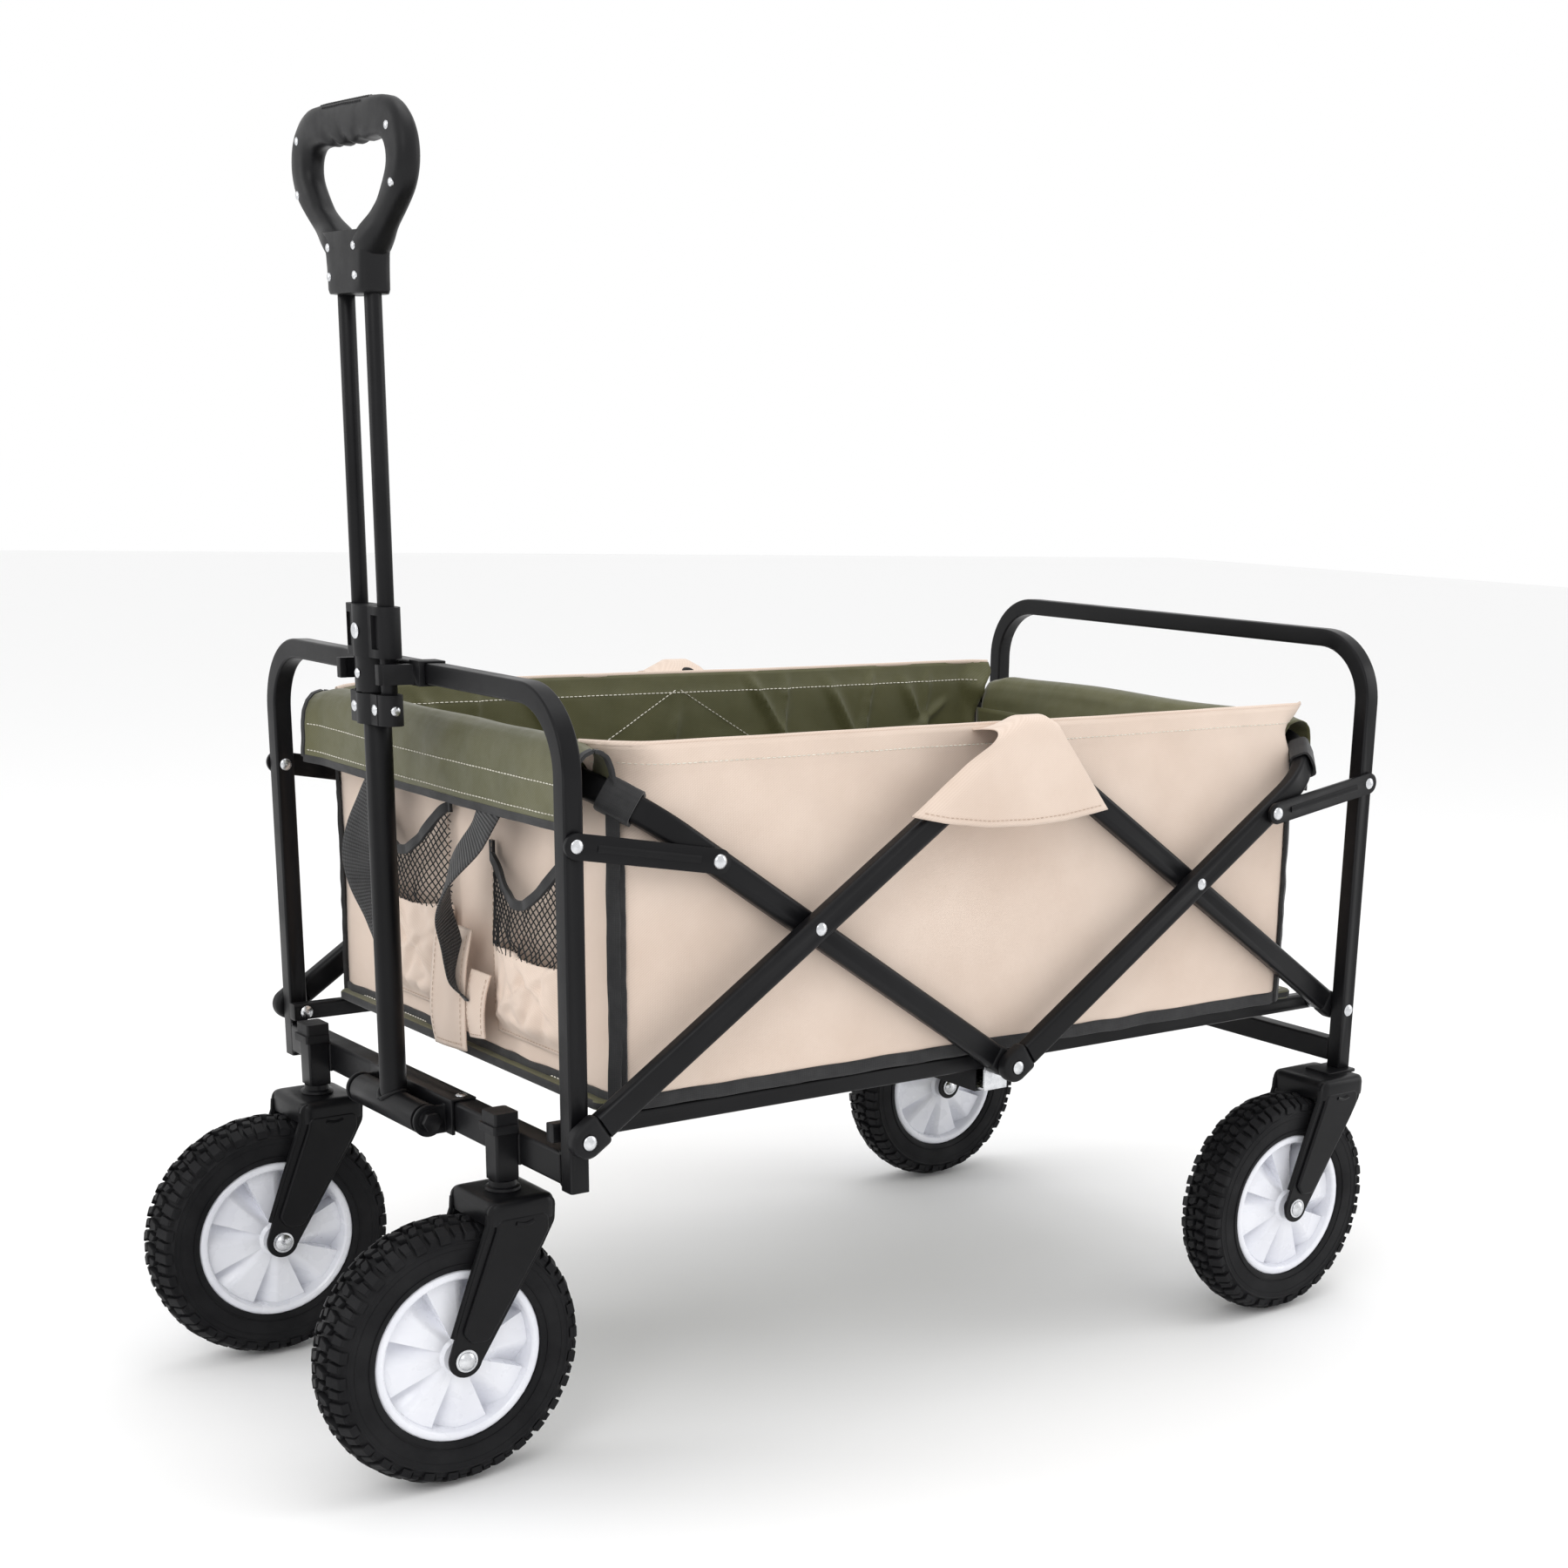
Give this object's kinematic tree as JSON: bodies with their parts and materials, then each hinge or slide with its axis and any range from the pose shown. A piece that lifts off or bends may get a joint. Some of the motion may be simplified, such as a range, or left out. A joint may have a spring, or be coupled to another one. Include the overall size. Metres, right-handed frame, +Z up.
{
  "type": "folding wagon",
  "caption": "Folding utility wagon with a scissor-linked tube frame, cloth tub, swivel casters in front, fixed rear wheels and a telescoping pull handle.",
  "frame": {"origin": "on the ground, at the middle of the wagon's length and width", "axes": "X along the length with the handle end at -X, Y across the width, Z up"},
  "size_m": [0.967, 0.5654, 0.948],
  "materials": {
    "black_coat": "satin black powder coat",
    "black_plastic": "moulded black plastic, fine grain",
    "zinc": "bright zinc plate",
    "olive_cloth": "woven olive polyester",
    "beige_cloth": "woven beige polyester",
    "black_webbing": "black webbing",
    "tyre_rubber": "moulded black rubber with block tread",
    "white_hub": "glossy white moulding"
  },
  "bodies": {
    "front_frame": {"front_hoop": "black_coat", "front_crossmember": "black_coat", "caster_posts": "black_coat", "post_caps": "black_plastic", "handle_bracket": "black_coat", "handle_clip": "black_plastic", "handle_bolt": "black_coat", "front_pivot_pins": "zinc", "front_link_pins": "zinc"},
    "arms_a1": {"arm_a1": "black_coat", "arm_a1_caps": "black_plastic", "arm_a1_pins": "zinc"},
    "arms_a2": {"arm_a2": "black_coat", "arm_a2_caps": "black_plastic", "centre_pins": "zinc"},
    "arms_b2": {"arm_b2": "black_coat", "arm_b2_caps": "black_plastic"},
    "arms_b1": {"arm_b1": "black_coat", "arm_b1_caps": "black_plastic", "arm_b1_pins": "zinc"},
    "rear_frame": {"rear_hoop": "black_coat", "rear_crossmember": "black_coat", "rear_forks": "black_coat", "rear_pivot_pins": "zinc", "rear_axles": "zinc", "rear_link_pins": "zinc"},
    "caster_left": {"caster_fork_left": "black_coat", "caster_axle_left": "zinc"},
    "caster_right": {"caster_fork_right": "black_coat", "caster_axle_right": "zinc"},
    "wheel_front_left": {"tyre_front_left": "tyre_rubber", "hub_front_left": "white_hub"},
    "wheel_front_right": {"tyre_front_right": "tyre_rubber", "hub_front_right": "white_hub"},
    "wheel_rear_left": {"tyre_rear_left": "tyre_rubber", "hub_rear_left": "white_hub"},
    "wheel_rear_right": {"tyre_rear_right": "tyre_rubber", "hub_rear_right": "white_hub"},
    "handle_arm": {"handle_tube": "black_coat", "handle_upper_collar": "black_plastic"},
    "handle_slider": {"handle_rods": "black_coat", "handle_lower_collar": "black_plastic", "handle_grip": "black_plastic", "grip_screws": "zinc"},
    "centre_support": {"centre_channel": "black_coat", "centre_brackets": "zinc", "floor_strip": "olive_cloth"},
    "front_link_pair": {"front_links": "black_coat"},
    "rear_link_pair": {"rear_links": "black_coat"},
    "floor_front": {"floor_frame_front": "black_coat", "floor_board_front": "olive_cloth"},
    "floor_rear": {"floor_frame_rear": "black_coat", "floor_board_rear": "olive_cloth"},
    "front_cloth": {"front_panel": "olive_cloth", "pockets": "beige_cloth", "pull_straps": "black_webbing"},
    "rear_cloth": {"rear_panel": "olive_cloth"},
    "side_cloth": {"side_panels": "beige_cloth"},
    "flap_cloth": {"flaps": "beige_cloth"}
  },
  "joints": [
    {"name": "fold", "type": "hinge", "parent": "front_frame", "child": "arms_a1", "pos_m": [-0.3185, 0, 0.268], "axis": [0, -1, 0], "range_deg": [0, 36], "deforming": ["side_panels"]},
    {"name": "a2_cross_pivot", "type": "hinge", "parent": "arms_a1", "child": "arms_a2", "pos_m": [-0.1245, 0, 0.39886], "axis": [0, -1, 0], "range_deg": [-72, 0]},
    {"name": "b2_top_pivot", "type": "hinge", "parent": "arms_a1", "child": "arms_b2", "pos_m": [0.0695, 0, 0.52971], "axis": [0, -1, 0], "range_deg": [-72, 0]},
    {"name": "b1_cross_pivot", "type": "hinge", "parent": "arms_b2", "child": "arms_b1", "pos_m": [0.2635, 0, 0.39886], "axis": [0, -1, 0], "range_deg": [0, 72]},
    {"name": "rear_leg_pivot", "type": "hinge", "parent": "arms_b2", "child": "rear_frame", "pos_m": [0.4575, 0, 0.268], "axis": [0, -1, 0], "range_deg": [0, 36]},
    {"name": "centre_pivot", "type": "hinge", "parent": "arms_a2", "child": "centre_support", "pos_m": [0.0695, 0, 0.268], "axis": [0, -1, 0], "range_deg": [0, 36]},
    {"name": "front_link_pivot", "type": "hinge", "parent": "front_frame", "child": "front_link_pair", "pos_m": [-0.3185, 0, 0.472], "axis": [0, -1, 0], "range_deg": [0, 76]},
    {"name": "rear_link_pivot", "type": "hinge", "parent": "rear_frame", "child": "rear_link_pair", "pos_m": [0.4575, 0, 0.472], "axis": [0, -1, 0], "range_deg": [-76, 0]},
    {"name": "floor_front_pivot", "type": "hinge", "parent": "front_frame", "child": "floor_front", "pos_m": [-0.3185, 0, 0.268], "axis": [0, -1, 0], "range_deg": [0, 66]},
    {"name": "floor_rear_pivot", "type": "hinge", "parent": "rear_frame", "child": "floor_rear", "pos_m": [0.4575, 0, 0.268], "axis": [0, -1, 0], "range_deg": [-66, 0]},
    {"name": "front_cloth_pivot", "type": "hinge", "parent": "arms_a2", "child": "front_cloth", "pos_m": [-0.28782, 0, 0.50902], "axis": [0, -1, 0], "range_deg": [0, 43]},
    {"name": "rear_cloth_pivot", "type": "hinge", "parent": "arms_b1", "child": "rear_cloth", "pos_m": [0.42102, 0, 0.5051], "axis": [0, -1, 0], "range_deg": [-43, 0]},
    {"name": "side_cloth_pivot", "type": "hinge", "parent": "arms_a2", "child": "side_cloth", "pos_m": [-0.28782, 0, 0.50902], "axis": [0, -1, 0], "range_deg": [0, 36]},
    {"name": "flap_pivot", "type": "hinge", "parent": "arms_a1", "child": "flap_cloth", "pos_m": [0.0695, 0, 0.52971], "axis": [0, -1, 0], "range_deg": [-36, 0]},
    {"name": "caster_left_swivel", "type": "hinge", "parent": "front_frame", "child": "caster_left", "pos_m": [-0.3355, 0.158, 0.215], "axis": [0, 0, 1], "continuous": true},
    {"name": "caster_right_swivel", "type": "hinge", "parent": "front_frame", "child": "caster_right", "pos_m": [-0.3355, -0.158, 0.215], "axis": [0, 0, 1], "continuous": true},
    {"name": "wheel_front_left_roll", "type": "hinge", "parent": "caster_left", "child": "wheel_front_left", "pos_m": [-0.3835, 0.158, 0.1], "axis": [0, 1, 0], "continuous": true},
    {"name": "wheel_front_right_roll", "type": "hinge", "parent": "caster_right", "child": "wheel_front_right", "pos_m": [-0.3835, -0.158, 0.1], "axis": [0, 1, 0], "continuous": true},
    {"name": "wheel_rear_left_roll", "type": "hinge", "parent": "rear_frame", "child": "wheel_rear_left", "pos_m": [0.3835, 0.2485, 0.1], "axis": [0, 1, 0], "continuous": true},
    {"name": "wheel_rear_right_roll", "type": "hinge", "parent": "rear_frame", "child": "wheel_rear_right", "pos_m": [0.3835, -0.2485, 0.1], "axis": [0, 1, 0], "continuous": true},
    {"name": "handle_tilt", "type": "hinge", "parent": "front_frame", "child": "handle_arm", "pos_m": [-0.3425, 0, 0.241], "axis": [0, -1, 0], "range_deg": [0, 100]},
    {"name": "handle_slide", "type": "slide", "parent": "handle_arm", "child": "handle_slider", "axis": [0, 0, -1], "range_m": [0, 0.205]}
  ],
  "couplings": [
    {"joint": "a2_cross_pivot", "follows": "fold", "ratio": -2},
    {"joint": "b2_top_pivot", "follows": "fold", "ratio": -2},
    {"joint": "b1_cross_pivot", "follows": "fold", "ratio": 2},
    {"joint": "rear_leg_pivot", "follows": "fold", "ratio": 1},
    {"joint": "centre_pivot", "follows": "fold", "ratio": 1},
    {"joint": "front_link_pivot", "follows": "fold", "ratio": 2.106},
    {"joint": "rear_link_pivot", "follows": "fold", "ratio": -2.106},
    {"joint": "floor_front_pivot", "follows": "fold", "ratio": 1.8056},
    {"joint": "floor_rear_pivot", "follows": "fold", "ratio": -1.8056},
    {"joint": "front_cloth_pivot", "follows": "fold", "ratio": 1.1944},
    {"joint": "rear_cloth_pivot", "follows": "fold", "ratio": -1.1806},
    {"joint": "side_cloth_pivot", "follows": "fold", "ratio": 1},
    {"joint": "flap_pivot", "follows": "fold", "ratio": -1}
  ]
}
